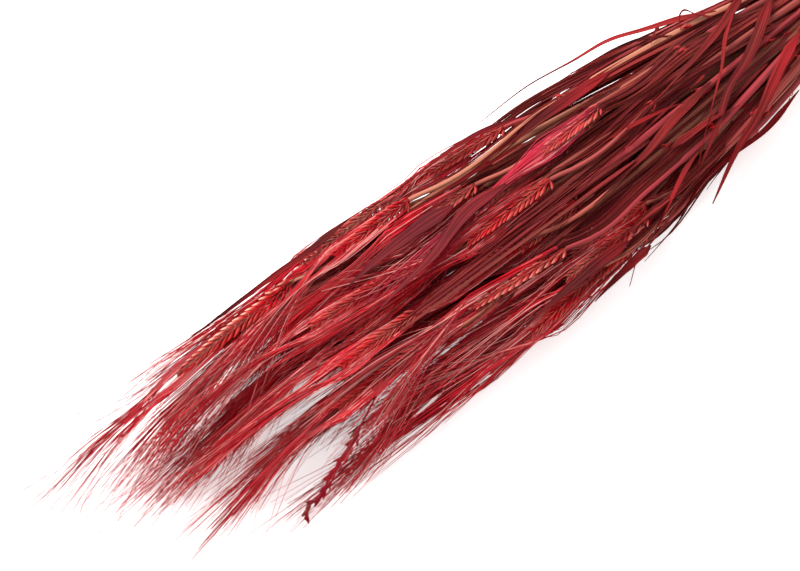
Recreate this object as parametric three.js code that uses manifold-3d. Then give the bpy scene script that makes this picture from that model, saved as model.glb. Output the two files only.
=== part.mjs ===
// A tied bundle of dyed, dried two-row barley, lying on its side.
// Millimetres, +Z up. X runs along the bundle: cut stem ends towards +X, awns towards -X.
// Every stalk (stem, joint, ear and awns) grew as one piece, so it is one solid. The big loose
// leaf blades and the tie are solids of their own.
import * as THREE from "three";
import { mergeVertices } from "three/addons/utils/BufferGeometryUtils.js";
import Module from "manifold-3d";

const wasm = await Module();
wasm.setup();

// Places along the bundle
const CUT_END_X = 392;
const TIE_X = 305;
const TIE_Y = 4;
const EARS_START_X = 165;
const AWN_END_X = -235;
const STATION_STEP = 10;

// Stem, ear and awn sizes
const STEM_RADIUS = 1.9;
const NECK_RADIUS = 1.25;
const JOINT_RADIUS = 2.15;
const JOINT_LENGTH = 5;
const EAR_HALF_WIDTH = 5;
const EAR_NOTCH = 0.62;
const EAR_HALF_THICKNESS = 2.6;
const EAR_RINGS = 11;
const BRUSH_HALF_WIDTH = 6.4;
const BRUSH_END_HALF_WIDTH = 0.7;
const STEM_SIDES = 6;
const EAR_SIDES = 4;

// How the stalks are packed
const TIE_SPACING = 4.6;
const TIE_LAYER_STEP = 4.4;
const EAR_LAYER_STEP = 5.9;
const AWN_LAYER_STEP = 4.2;
const FAR_AWN_LAYER_STEP = 2.2;
const SIDE_CLEARANCE = 1;
const CUT_END_SPREAD = 0.32;
const SPLAY = 1.05;
const SPLAY_FAR_SIDE = 1.9;
const EDGE_SAG = 2.2;
const SETTLING_PASSES = 160;

// Tie: a few turns of twine
const TIE_TURNS = 3;
const TWINE_DIAMETER = 2.8;
const TIE_CLEARANCE = 1.4;
const TIE_SEGMENTS = 16;
const TIE_SQUARENESS = 0.6;
const TIE_FLAT = 1;

// Leaf blades
const BLADE_THICKNESS = 0.6;
const BLADE_EXTRA_RINGS = 2;

// Layers from the table up, each from +Y to -Y. For each stalk: where its ear begins, where the
// ear ends, and where its awns end, as [x, y] seen from above.
const LAYERS = [
  [
    [[62, 40], [0, 42], [-104, 43]],
    [[4, 14], [-58, 14], [-160, 15]],
    [[62, -13], [0, -15], [-104, -16]],
    [[36, -37], [-26, -42], [-128, -45]],
  ],
  [
    [[24, 51], [-38, 51], [-142, 51]],
    [[72, 29], [10, 30], [-92, 31]],
    [[0, 11], [-60, 11], [-160, 12]],
    [[44, -9], [-16, -10], [-118, -11]],
    [[88, -30], [28, -33], [-74, -38]],
    [[58, -48], [-2, -54], [-100, -58]],
  ],
  [
    [[76, 56], [14, 55], [-90, 54]],
    [[-8, 39], [-68, 38], [-172, 40]],
    [[34, 21], [-28, 21], [-130, 22]],
    [[92, 4], [30, 3], [-72, 3]],
    [[10, -15], [-50, -17], [-150, -18]],
    [[44, -32], [-16, -36], [-122, -39]],
    [[98, -43], [36, -50], [-60, -62]],
  ],
  [
    [[20, 53], [-38, 50], [-140, 53]],
    [[-46, 40], [-125, 36], [-208, 48]],
    [[66, 28], [5, 28], [-95, 29]],
    [[2, 13], [-58, 13], [-165, 15]],
    [[100, -2], [40, -3], [-62, -4]],
    [[24, -19], [-36, -20], [-140, -21]],
    [[80, -31], [20, -34], [-82, -38]],
    [[110, -43], [52, -47], [-46, -58]],
  ],
  [
    [[94, 46], [42, 49], [-60, 50]],
    [[-12, 33], [-72, 33], [-175, 36]],
    [[112, 17], [50, 17], [-55, 18]],
    [[15, 3], [-45, 2], [-150, 2]],
    [[95, -13], [38, -13], [-62, -14]],
    [[119, -34], [65, -33], [-38, -36]],
    [[78, -46], [21, -53], [-72, -61]],
  ],
  [
    [[27, 40], [-28, 38], [-128, 40]],
    [[58, 26], [0, 26], [-104, 26]],
    [[-9, 12], [-62, 16], [-168, 18]],
    [[55, -14], [0, -12], [-102, -13]],
    [[-20, -27], [-79, -28], [-152, -33]],
    [[112, -41], [52, -43], [-50, -47]],
  ],
  [
    [[134, 19], [61, 16], [-42, 14]],
    [[86, 2], [25, 0], [-76, -1]],
    [[-16, -14], [-66, -14], [-158, -12]],
    [[66, -33], [3, -29], [-98, -31]],
  ],
];

// Loose blades: width, and points [x, y, z] from the root of the blade to its tip.
const BLADES = [
  {
    width: 4.4,
    path: [[217, 27, 35], [205, 33, 34], [181, 43, 32], [165, 50, 30], [144, 55, 25], [122, 63, 15], [92, 66, 6]],
  },
  { width: 2.2, path: [[189, 30, 35], [177, 41, 30], [148, 49, 25], [128, 51, 24]] },
  { width: 7, path: [[244, 15, 38], [230, 6, 40], [207, -7, 40], [187, -15, 41], [166, -28, 41.3], [142, -40, 33]] },
  { width: 6, path: [[240, -11, 38], [223, -18, 39], [206, -26, 38], [189, -34, 36], [172, -39, 30], [147, -49, 13]] },
  { width: 3.4, path: [[224, -30, 21], [194, -37, 21], [161, -39, 24], [143, -42, 25], [127, -47, 17], [102, -49, 4]] },
  { width: 3, path: [[150, -32, 38.8], [135, -37, 37.3], [124, -42, 35], [109, -48, 28], [95, -51, 21], [83, -58, 12]] },
  { width: 6.5, path: [[62, 13, 41], [38, 12, 42], [4, 2, 43], [-17, -1, 43], [-40, -5, 42]] },
  { width: 6, path: [[33, 19, 43], [12, 20, 42], [-14, 19, 42], [-35, 17, 41]] },
  { width: 7.5, path: [[90, -47, 34], [68, -48, 35.5], [46, -49, 34], [20, -51, 33]] },
  { width: 5, path: [[96, 41, 36], [70, 49, 32], [37, 50, 30], [15, 50, 29], [0, 51, 29]] },
  { width: 6, path: [[-6, 52, 30], [-28, 51, 30], [-60, 50, 31], [-88, 52, 26]] },
  { width: 7, path: [[182, -6, 40], [150, -12, 40], [127, -17, 38], [104, -18, 37], [68, -21, 37]] },
  { width: 5, path: [[100, -53, 27], [86, -55, 27], [72, -57, 27], [58, -59, 26]] },
  { width: 7, path: [[150, 34, 34], [112, 34, 34], [78, 34, 34], [46, 38, 32]] },
  { width: 5, path: [[236, 26, 38], [204, 14, 40], [172, 6, 42], [146, 1, 43]] },
];

const STACK_HALF_HEIGHT = ((LAYERS.length - 1) / 2) * TIE_LAYER_STEP;
const TIE_HOLE_HALF_HEIGHT = STACK_HALF_HEIGHT + STEM_RADIUS + TIE_CLEARANCE;

const clamp01 = (t) => Math.min(1, Math.max(0, t));
const lerp = THREE.MathUtils.lerp;

// 0 at x = from, 1 at x = to, smooth between them.
function ease(x, from, to) {
  const t = clamp01((x - from) / (to - from));
  return t * t * (3 - 2 * t);
}

// A repeatable number from 0 to 1 for each stalk and each use.
function chance(index, use) {
  const wave = Math.sin(index * 12.9898 + use * 78.233) * 43758.5453;
  return wave - Math.floor(wave);
}

// Height between layers: tight under the tie, wide where the ears are, and closing again
// towards the tips of the awns.
function layerStep(x) {
  const stemToEar = lerp(TIE_LAYER_STEP, EAR_LAYER_STEP, ease(x, TIE_X - 12, EARS_START_X + 12));
  const earToAwn = lerp(stemToEar, AWN_LAYER_STEP, ease(x, -95, -150));
  return lerp(earToAwn, FAR_AWN_LAYER_STEP, ease(x, -150, AWN_END_X));
}

// Height of the lowest layer's axis above the table.
function lowestAxis(x) {
  const underTie = TWINE_DIAMETER - TIE_FLAT + TIE_HOLE_HALF_HEIGHT - STACK_HALF_HEIGHT;
  const atEars = EAR_HALF_THICKNESS + 0.2;
  const beforeTie = lerp(underTie, atEars, ease(x, TIE_X - 15, EARS_START_X));
  return lerp(beforeTie, STEM_RADIUS + 0.2, ease(x, TIE_X + 12, CUT_END_X - 10));
}

// Height of a stalk's axis: its layer's height, a little lower out at the sides.
function axisHeight(layer, x, y) {
  const halfWidth = 60;
  const sag = EDGE_SAG * (y / halfWidth) ** 2 * (layer / (LAYERS.length - 1));
  return lowestAxis(x) + layer * layerStep(x) - sag * ease(x, TIE_X, EARS_START_X);
}

// Half the width of a stalk at x, seen from above.
function halfWidthAt(stalk, x) {
  const alongEar = (stalk.base.x - x) / stalk.earLength;
  if (alongEar < -0.04) {
    return lerp(STEM_RADIUS, NECK_RADIUS, ease(x, TIE_X, stalk.base.x));
  }
  if (alongEar < 1) {
    return EAR_HALF_WIDTH;
  }
  const alongBrush = (stalk.tip.x - x) / stalk.brushLength;
  if (alongBrush > 1) {
    return 0;
  }
  return brushHalfWidth(alongBrush);
}

// The awns beyond the ear: they open a little, then close to a point.
function brushHalfWidth(t) {
  const open = lerp(EAR_HALF_WIDTH * 0.8, BRUSH_HALF_WIDTH, ease(t, 0, 0.45));
  return lerp(open, BRUSH_END_HALF_WIDTH, ease(t, 0.5, 1));
}

// The stalk's line seen from above before it is pushed off its neighbours: it splays out of
// the tie, runs straight through the ear and bends slowly along the awns.
function freeY(stalk, x) {
  if (x >= TIE_X) {
    return TIE_Y + stalk.tieOffset * (1 + (CUT_END_SPREAD * (x - TIE_X)) / (CUT_END_X - TIE_X));
  }
  const slope = (stalk.tip.y - stalk.base.y) / (stalk.tip.x - stalk.base.x);
  if (x < stalk.tip.x) {
    const t = (stalk.tip.x - x) / stalk.brushLength;
    const straight = stalk.tip.y + slope * (x - stalk.tip.x);
    const straightEnd = stalk.tip.y - slope * stalk.brushLength;
    return straight + (stalk.end.y - straightEnd) * t * t;
  }
  if (x < stalk.base.x) {
    return stalk.base.y + slope * (x - stalk.base.x);
  }
  const span = stalk.base.x - TIE_X;
  const splay = lerp(SPLAY, SPLAY_FAR_SIDE, clamp01(stalk.base.y / 50));
  const tieY = TIE_Y + stalk.tieOffset;
  const t = (x - TIE_X) / span;
  const t2 = t * t;
  const t3 = t2 * t;
  return (
    (2 * t3 - 3 * t2 + 1) * tieY +
    (t3 - 2 * t2 + t) * splay * (stalk.base.y - tieY) +
    (3 * t2 - 2 * t3) * stalk.base.y +
    (t3 - t2) * span * slope
  );
}

function makeStalks() {
  const stalks = [];
  LAYERS.forEach((layer, layerIndex) => {
    layer.forEach(([base, tip, end], place) => {
      const index = stalks.length;
      stalks.push({
        layer: layerIndex,
        base: new THREE.Vector2(...base),
        tip: new THREE.Vector2(...tip),
        end: new THREE.Vector2(...end),
        earLength: base[0] - tip[0],
        brushLength: tip[0] - end[0],
        jointX: lerp(TIE_X - 30, base[0] + 45, lerp(0.15, 0.75, chance(index, 1))),
        cutX: CUT_END_X - 12 * chance(index, 2),
        tieOffset: ((layer.length - 1) / 2 - place) * TIE_SPACING,
      });
    });
  });
  return stalks;
}

// Neighbours in one layer push each other aside until they clear. The push is smoothed along
// the stalk, as a stiff straw would pass it on, and the tie holds every stem in its place.
function settle(stalks) {
  const xs = [];
  for (let x = AWN_END_X; x <= CUT_END_X + STATION_STEP; x += STATION_STEP) {
    xs.push(x);
  }
  for (const stalk of stalks) {
    stalk.xs = xs;
    stalk.free = xs.map((x) => freeY(stalk, x));
    stalk.width = xs.map((x) => halfWidthAt(stalk, x));
    stalk.push = xs.map(() => 0);
  }
  for (let pass = 0; pass < SETTLING_PASSES; pass += 1) {
    for (let i = 0; i + 1 < stalks.length; i += 1) {
      const [a, b] = [stalks[i], stalks[i + 1]];
      if (a.layer !== b.layer) continue;
      xs.forEach((x, s) => {
        if (!a.width[s] || !b.width[s]) return;
        const gap = a.free[s] + a.push[s] - b.free[s] - b.push[s];
        const short = a.width[s] + b.width[s] + SIDE_CLEARANCE - gap;
        if (short > 0 && x < TIE_X - STATION_STEP) {
          a.push[s] += short / 2;
          b.push[s] -= short / 2;
        }
      });
    }
    if (pass < SETTLING_PASSES - 4) {
      stalks.forEach((stalk) => {
        stalk.push = smoothed(stalk.push, xs);
      });
    }
  }
}

function smoothed(values, xs) {
  return values.map((value, s) => {
    if (xs[s] >= TIE_X - STATION_STEP) return 0;
    const before = s > 0 ? values[s - 1] : value;
    return 0.25 * before + 0.5 * value + 0.25 * values[s + 1];
  });
}

// The settled line of a stalk seen from above.
function laneY(stalk, x) {
  const at = (x - stalk.xs[0]) / STATION_STEP;
  const s = Math.min(stalk.xs.length - 2, Math.max(0, Math.floor(at)));
  return freeY(stalk, x) + lerp(stalk.push[s], stalk.push[s + 1], at - s);
}

function axisPoint(stalk, x) {
  const y = laneY(stalk, x);
  return new THREE.Vector3(x, y, axisHeight(stalk.layer, x, y));
}

// A closed tube through rings of {centre, side, up, left, right, half}: a cylinder whose own
// rings are moved to these places. side x (towards the first ring) = up keeps its faces outward.
function loft(rings, sides) {
  const geometry = new THREE.CylinderGeometry(1, 1, 1, sides, rings.length - 1);
  const position = geometry.attributes.position;
  const point = new THREE.Vector3();
  for (let i = 0; i < position.count; i += 1) {
    const ring = rings[Math.round((0.5 - position.getY(i)) * (rings.length - 1))];
    const across = position.getX(i) * (position.getX(i) > 0 ? ring.right : ring.left);
    point
      .copy(ring.centre)
      .addScaledVector(ring.side, across)
      .addScaledVector(ring.up, position.getZ(i) * ring.half);
    position.setXYZ(i, point.x, point.y, point.z);
  }
  return geometry;
}

const ACROSS = new THREE.Vector3(0, -1, 0);
const UP = new THREE.Vector3(0, 0, 1);

function uprightRing(centre, left, right, half) {
  return { centre, side: ACROSS, up: UP, left, right, half };
}

function stemRings(stalk) {
  const halfJoint = JOINT_LENGTH / 2;
  const middleX = (stalk.jointX + stalk.base.x) / 2;
  const places = [
    [stalk.cutX, STEM_RADIUS],
    [TIE_X, STEM_RADIUS],
    [stalk.jointX + halfJoint, STEM_RADIUS],
    [stalk.jointX, JOINT_RADIUS],
    [stalk.jointX - halfJoint, lerp(STEM_RADIUS, NECK_RADIUS, 0.3)],
    [middleX, lerp(STEM_RADIUS, NECK_RADIUS, 0.7)],
    [stalk.base.x - 2, NECK_RADIUS],
  ];
  return places.map(([x, radius]) => uprightRing(axisPoint(stalk, x), radius, radius, radius));
}

// The grains sit left and right in turn, so the outline is wide on one side and narrow on the
// other at each ring. Past the tip the same section carries on as the brush of awns.
function earRings(stalk) {
  const rings = [];
  for (let i = 0; i < EAR_RINGS; i += 1) {
    const t = i / (EAR_RINGS - 1);
    const full = Math.min(1, 0.42 + 2.6 * t, 0.8 + 2.2 * (1 - t));
    const wide = EAR_HALF_WIDTH * full;
    const narrow = wide * EAR_NOTCH;
    const centre = axisPoint(stalk, stalk.base.x - t * stalk.earLength);
    const half = EAR_HALF_THICKNESS * Math.min(1, full + 0.1);
    rings.push(i % 2 ? uprightRing(centre, wide, narrow, half) : uprightRing(centre, narrow, wide, half));
  }
  for (const t of [0.5, 1]) {
    const centre = axisPoint(stalk, stalk.tip.x - t * stalk.brushLength);
    const halfWidth = brushHalfWidth(t);
    rings.push(uprightRing(centre, halfWidth, halfWidth, lerp(1.7, 0.35, ease(t, 0.3, 1))));
  }
  return rings;
}

function solidOf(geometry) {
  geometry.deleteAttribute("normal");
  geometry.deleteAttribute("uv");
  const merged = mergeVertices(geometry, 1e-4);
  return new wasm.Manifold(
    new wasm.Mesh({
      numProp: 3,
      vertProperties: merged.attributes.position.array,
      triVerts: new Uint32Array(merged.index.array),
    }),
  );
}

function geometryOf(solid) {
  const mesh = solid.getMesh();
  const geometry = new THREE.BufferGeometry();
  geometry.setAttribute("position", new THREE.BufferAttribute(mesh.vertProperties, 3));
  geometry.setIndex(new THREE.BufferAttribute(mesh.triVerts, 1));
  geometry.computeVertexNormals();
  return geometry;
}

function stalkGeometry(stalk) {
  const stem = solidOf(loft(stemRings(stalk), STEM_SIDES));
  const ear = solidOf(loft(earRings(stalk), EAR_SIDES));
  return geometryOf(stem.add(ear));
}

// A flat dried blade: broad soon after its root, tapering to a narrow tip, lying on the stalks.
function bladeGeometry(blade) {
  const points = blade.path.map((point) => new THREE.Vector3(...point));
  const line = new THREE.CatmullRomCurve3(points, false, "centripetal");
  const count = points.length + BLADE_EXTRA_RINGS;
  const rings = [];
  for (let i = 0; i < count; i += 1) {
    const t = i / (count - 1);
    const centre = line.getPoint(t);
    const forward = line.getTangent(t);
    const side = new THREE.Vector3().crossVectors(UP, forward).normalize();
    const up = new THREE.Vector3().crossVectors(forward, side);
    const half = (blade.width / 2) * lerp(Math.min(1, 0.55 + 2 * t), 0.16, ease(t, 0.45, 1));
    rings.push({ centre, side, up, left: half, right: half, half: BLADE_THICKNESS / 2 });
  }
  return flatLoft(rings);
}

// As loft, with a rectangular section.
function flatLoft(rings) {
  const geometry = new THREE.BoxGeometry(2, 1, 2, 1, rings.length - 1, 1);
  const position = geometry.attributes.position;
  const point = new THREE.Vector3();
  for (let i = 0; i < position.count; i += 1) {
    const ring = rings[Math.round((0.5 - position.getY(i)) * (rings.length - 1))];
    point
      .copy(ring.centre)
      .addScaledVector(ring.side, position.getX(i) * ring.left)
      .addScaledVector(ring.up, position.getZ(i) * ring.half);
    position.setXYZ(i, point.x, point.y, point.z);
  }
  return geometry;
}

// Turns of twine side by side, drawn round the packed stems in a rounded oblong and pressed
// flat where they meet the table.
function tieGeometry() {
  const length = TIE_TURNS * TWINE_DIAMETER;
  const groove = TIE_HOLE_HALF_HEIGHT + 0.55 * TWINE_DIAMETER;
  const crest = TIE_HOLE_HALF_HEIGHT + TWINE_DIAMETER;
  const profile = [new THREE.Vector2(TIE_HOLE_HALF_HEIGHT, -length / 2)];
  for (let turn = 0; turn < TIE_TURNS; turn += 1) {
    const start = -length / 2 + turn * TWINE_DIAMETER;
    profile.push(new THREE.Vector2(groove, start));
    profile.push(new THREE.Vector2(crest, start + TWINE_DIAMETER * 0.3));
    profile.push(new THREE.Vector2(crest, start + TWINE_DIAMETER * 0.7));
  }
  profile.push(new THREE.Vector2(groove, length / 2));
  profile.push(new THREE.Vector2(TIE_HOLE_HALF_HEIGHT, length / 2));
  profile.push(profile[0].clone());
  const geometry = new THREE.LatheGeometry(profile, TIE_SEGMENTS);
  geometry.rotateZ(-Math.PI / 2);
  const widest = Math.max(...LAYERS.map((layer) => layer.length));
  const holeHalfWidth = ((widest - 1) / 2) * TIE_SPACING + STEM_RADIUS + TIE_CLEARANCE;
  const centreZ = lowestAxis(TIE_X) + STACK_HALF_HEIGHT;
  const position = geometry.attributes.position;
  for (let i = 0; i < position.count; i += 1) {
    const height = Math.hypot(position.getY(i), position.getZ(i));
    const width = height - TIE_HOLE_HALF_HEIGHT + holeHalfWidth;
    const y = TIE_Y + width * rounded(position.getY(i) / height);
    const z = centreZ + height * rounded(position.getZ(i) / height);
    position.setXYZ(i, TIE_X + position.getX(i), y, Math.max(0, z));
  }
  return geometry;
}

// Turns the sine or cosine of a circle into that of a rounded oblong.
function rounded(value) {
  return Math.sign(value) * Math.abs(value) ** TIE_SQUARENESS;
}

const dyes = {
  stalk: new THREE.MeshStandardMaterial({ color: 0xa82a30, roughness: 0.62, metalness: 0 }),
  leaf: new THREE.MeshStandardMaterial({ color: 0x8e2a30, roughness: 0.6, metalness: 0 }),
  tie: new THREE.MeshStandardMaterial({ color: 0xb08a5a, roughness: 0.85, metalness: 0 }),
};

const stalks = makeStalks();
settle(stalks);

const bundle = new THREE.Group();
function addPiece(name, geometry, material) {
  const mesh = new THREE.Mesh(geometry, material);
  mesh.name = name;
  bundle.add(mesh);
}
const numbered = (word, i) => `${word}_${String(i + 1).padStart(2, "0")}`;
stalks.forEach((stalk, i) => addPiece(numbered("stalk", i), stalkGeometry(stalk), dyes.stalk));
BLADES.forEach((blade, i) => addPiece(numbered("leaf", i), bladeGeometry(blade), dyes.leaf));
addPiece("tie", tieGeometry(), dyes.tie);

// The origin is under the middle of the bundle, on the table.
const box = new THREE.Box3().setFromObject(bundle, true);
const middle = box.getCenter(new THREE.Vector3());
bundle.position.set(-middle.x, -middle.y, -box.min.z);

export default bundle;
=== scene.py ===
import math

import bpy
import numpy as np
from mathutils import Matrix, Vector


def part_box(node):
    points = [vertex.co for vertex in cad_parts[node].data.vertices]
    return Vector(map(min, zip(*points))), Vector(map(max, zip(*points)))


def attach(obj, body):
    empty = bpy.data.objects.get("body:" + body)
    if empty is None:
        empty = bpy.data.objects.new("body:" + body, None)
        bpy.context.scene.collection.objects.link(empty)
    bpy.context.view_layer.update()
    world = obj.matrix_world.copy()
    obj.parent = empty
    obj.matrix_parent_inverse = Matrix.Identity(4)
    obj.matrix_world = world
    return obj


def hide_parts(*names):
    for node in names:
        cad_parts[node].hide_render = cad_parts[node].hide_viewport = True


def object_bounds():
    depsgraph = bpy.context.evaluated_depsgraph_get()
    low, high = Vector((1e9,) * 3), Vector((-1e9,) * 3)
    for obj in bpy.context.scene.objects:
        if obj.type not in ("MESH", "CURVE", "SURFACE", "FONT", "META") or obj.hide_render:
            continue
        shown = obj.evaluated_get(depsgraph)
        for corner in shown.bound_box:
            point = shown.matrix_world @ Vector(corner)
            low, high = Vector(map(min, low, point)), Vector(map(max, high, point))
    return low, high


# %% [markdown]
# # A bundle of dried barley
#
# The bundle was built as solids first: forty-two stalks, fifteen loose leaf blades and a tie. Here
# every solid gets its finished surface. The real object is dyed straw, so nearly all of it is long
# thin strands: stems, grains, awns and dry leaves.
#
# All of these are one kind of shape, a closed outline carried along a path. So one function makes
# them all, and the rest of the lesson is about where the paths run and how the outline changes.

# %% Load the solids
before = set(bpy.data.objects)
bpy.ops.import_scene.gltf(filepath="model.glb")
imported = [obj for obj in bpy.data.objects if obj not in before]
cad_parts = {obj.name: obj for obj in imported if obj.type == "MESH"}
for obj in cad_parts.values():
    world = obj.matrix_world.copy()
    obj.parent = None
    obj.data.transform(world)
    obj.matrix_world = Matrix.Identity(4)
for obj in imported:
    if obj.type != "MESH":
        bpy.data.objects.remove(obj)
cad_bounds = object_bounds()
MM = 0.001
rng = np.random.default_rng(20)

TIE_PLACE = np.array([305.0, 4.0])
tie_low, tie_high = (np.array(corner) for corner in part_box("tie"))
shift = np.append((tie_low + tie_high)[:2] / 2 - TIE_PLACE * MM, 0)
print("the part is shifted by", shift.round(5))
print("loaded", len(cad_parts), "solids")

# %% [markdown]
# ## Carrying an outline along many paths
#
# The bundle has over three thousand awns, so the paths of one ear are handled together as one
# array of shape (paths, points, 3). Each ring of the surface is the path's point plus the
# outline, measured along two directions square to the path: `side`, which is level, and `up`.
# The ends close on a pole, so every strand is a closed shell.


# %% Directions across a path
def unit(v):
    """v divided by its own length."""
    return v / np.maximum(np.linalg.norm(v, axis=-1, keepdims=True), 1e-12)


def square_to(travel, turn=0.0):
    """Two directions square to travel. side = level direction to the left of travel, and
    up = travel x side; both are then turned about travel by the angle turn."""
    side = unit(np.cross(np.broadcast_to([0.0, 0.0, 1.0], travel.shape), travel))
    up = np.cross(travel, side)
    c, s = np.cos(turn)[..., None], np.sin(turn)[..., None]
    return c * side + s * up, c * up - s * side


def across_path(path, turn=0.0):
    """The two directions square to each path at every point."""
    return square_to(unit(np.gradient(path, axis=-2)), turn)


# %% The shape that gathers strands
STRAW, GRAIN, AWN, BLADE, TWINE = range(5)


class Strands:
    """Collects swept surfaces and makes one mesh of them."""

    def __init__(self):
        self.vertices, self.tones = [], []
        self.faces = {4: [], 3: []}
        self.uvs = {4: [], 3: []}
        self.slots = {4: [], 3: []}
        self.count = 0

    def sweep(self, path, side, up, outline, tone, slot):
        """Adds a closed surface for each path: ring point = path + side * a + up * b, with
        (a, b) from outline, of shape (paths, points, corners, 2). tone colours every ring."""
        paths, points = path.shape[:2]
        outline = np.broadcast_to(outline, (paths, points) + outline.shape[-2:])
        corners = outline.shape[2]
        ring = path[:, :, None] + side[:, :, None] * outline[..., :1] + up[:, :, None] * outline[..., 1:]
        poles = path[:, [0, -1]]
        tone = np.broadcast_to(tone, (paths, points, 3))
        self.vertices += [ring.reshape(-1, 3), poles.reshape(-1, 3)]
        self.tones += [np.repeat(tone.reshape(-1, 3), corners, axis=0), tone[:, [0, -1]].reshape(-1, 3)]

        here = self.count + np.arange(paths * points * corners).reshape(paths, points, corners)
        after = np.roll(here, -1, axis=2)
        quads = np.stack([here[:, :-1], after[:, :-1], after[:, 1:], here[:, 1:]], axis=-1)
        pole = self.count + here.size + np.arange(2 * paths).reshape(paths, 2, 1)
        first = np.stack(np.broadcast_arrays(pole[:, 0], after[:, 0], here[:, 0]), axis=-1)
        last = np.stack(np.broadcast_arrays(pole[:, 1], here[:, -1], after[:, -1]), axis=-1)
        self.count += here.size + 2 * paths

        run = np.cumsum(np.linalg.norm(np.diff(path, axis=1, prepend=path[:, :1]), axis=-1), axis=1)
        v = run + rng.uniform(0, 9, (paths, 1))
        u = np.linspace(0, 1, corners + 1)
        u0, u1 = u[:-1], u[1:]
        v0, v1 = v[:, :-1, None], v[:, 1:, None]
        quad_uv = [np.broadcast_arrays(a, b) for a, b in ((u0, v0), (u1, v0), (u1, v1), (u0, v1))]
        quad_uv = np.stack([np.stack(pair, axis=-1) for pair in quad_uv], axis=-2)
        ends = [np.broadcast_arrays(u_end, v[:, end, None]) for end in (0, -1) for u_end in (u0, u1, u0)]
        end_uv = np.stack([np.stack(pair, axis=-1) for pair in ends], axis=-2).reshape(-1, 3, 2)
        self._add(4, quads.reshape(-1, 4), quad_uv.reshape(-1, 4, 2), slot)
        self._add(3, np.concatenate([first.reshape(-1, 3), last.reshape(-1, 3)]), end_uv, slot)

    def _add(self, sides, faces, uv, slot):
        self.faces[sides].append(faces)
        self.uvs[sides].append(uv)
        self.slots[sides].append(np.full(len(faces), slot))

    def mesh(self, name, materials):
        """Makes the object, with its UV map, its tone attribute and its materials."""
        vertices = np.concatenate(self.vertices)
        vertices[:, 2] = np.maximum(vertices[:, 2], cad_bounds[0][2])
        data = bpy.data.meshes.new(name)
        loops = np.concatenate([np.concatenate(self.faces[k]).ravel() for k in (4, 3)])
        sizes = np.concatenate([np.full(sum(map(len, self.faces[k])), k) for k in (4, 3)])
        data.vertices.add(len(vertices))
        data.vertices.foreach_set("co", vertices.ravel())
        data.loops.add(len(loops))
        data.loops.foreach_set("vertex_index", loops.astype(np.int32))
        data.polygons.add(len(sizes))
        data.polygons.foreach_set("loop_start", (np.cumsum(sizes) - sizes).astype(np.int32))
        slots = np.concatenate([np.concatenate(self.slots[k]) for k in (4, 3)])
        data.polygons.foreach_set("material_index", slots.astype(np.int32))
        data.update(calc_edges=True)
        data.shade_smooth()
        uv = np.concatenate([np.concatenate(self.uvs[k]).reshape(-1, 2) for k in (4, 3)])
        data.uv_layers.new(name="strand").data.foreach_set("uv", uv.astype(np.float32).ravel())
        tones = np.concatenate(self.tones)
        rgba = np.concatenate([tones, np.ones((len(tones), 1))], axis=1).astype(np.float32)
        data.attributes.new("tone", "FLOAT_COLOR", "POINT").data.foreach_set("color", rgba.ravel())
        for material in materials:
            data.materials.append(material)
        piece = bpy.data.objects.new(name, data)
        bpy.context.scene.collection.objects.link(piece)
        triangles = int((sizes - 2).sum())
        low, high = vertices[:, 1].min() / MM, vertices[:, 1].max() / MM
        print(f"{name}: {triangles} triangles, {low:.0f} to {high:.0f} mm across")
        return piece, triangles


# %% Smooth line through points
def cubic(t, step, start, end, start_slope, end_slope):
    """A cubic from start to end as t goes from 0 to 1 over a length of step. It starts and ends
    with the given slopes."""
    return (
        (2 * t**3 - 3 * t**2 + 1) * start
        + (t**3 - 2 * t**2 + t) * step * start_slope
        + (3 * t**2 - 2 * t**3) * end
        + (t**3 - t**2) * step * end_slope
    )


def running_length(points):
    """The length along a line of points, from 0 at the first."""
    return np.append(0, np.cumsum(np.linalg.norm(np.diff(points, axis=0), axis=1)))


def points_at(at, run, points):
    """The points of a line where its running value is at, with straight stretches between."""
    return np.stack([np.interp(at, run, axis) for axis in points.T], axis=-1)


def smooth_path(points, count):
    """A smooth line through a few points: a cubic in each coordinate, with the slope at each
    point taken from its neighbours, over the running length."""
    points = np.asarray(points, float)
    run = running_length(points)
    slope = np.gradient(points, run, axis=0)
    at = np.linspace(0, run[-1], count)
    i = np.clip(np.searchsorted(run, at) - 1, 0, len(run) - 2)
    step = (run[i + 1] - run[i])[:, None]
    t = (at[:, None] - run[i][:, None]) / step
    return cubic(t, step, points[i], points[i + 1], slope[i], slope[i + 1])


# %% Outlines
def oval(half_width, half_height, corners):
    """An oval outline: (half_width * cos, half_height * sin) of equal angles. The sizes may be
    arrays, one for every ring."""
    angle = np.linspace(0, 2 * np.pi, corners, endpoint=False)
    a = np.asarray(half_width)[..., None] * np.cos(angle)
    b = np.asarray(half_height)[..., None] * np.sin(angle)
    return np.stack(np.broadcast_arrays(a, b), axis=-1)


def leaf_outline(half_width, fold, thickness):
    """A thin folded strip. Its upper edge rises by fold on each side of the middle rib, and the
    lower edge lies thickness below it."""
    place = np.array([1.0, 0.5, 0.0, -0.5, -1.0])
    a = np.asarray(half_width)[..., None] * np.concatenate([place, place[::-1]])
    rise = np.asarray(fold)[..., None] * np.abs(np.concatenate([place, place[::-1]])) ** 1.3
    layer = 0.5 * thickness * np.concatenate([np.ones(5), -np.ones(5)])
    return np.stack(np.broadcast_arrays(a, rise + layer), axis=-1)


def sway(count, s, size):
    """Slow bends for count strands along s: two sine waves of random phase, zero at s = 0."""
    phase = rng.uniform(0, 2 * np.pi, (count, 2, 1))
    rate = rng.uniform(0.5, 1.3, (count, 2, 1)) * np.array([[1.0], [2.4]]) * np.pi
    wave = np.sin(rate * s + phase) - np.sin(phase)
    return size * (wave * np.array([[0.7], [0.3]])).sum(axis=1)


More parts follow.
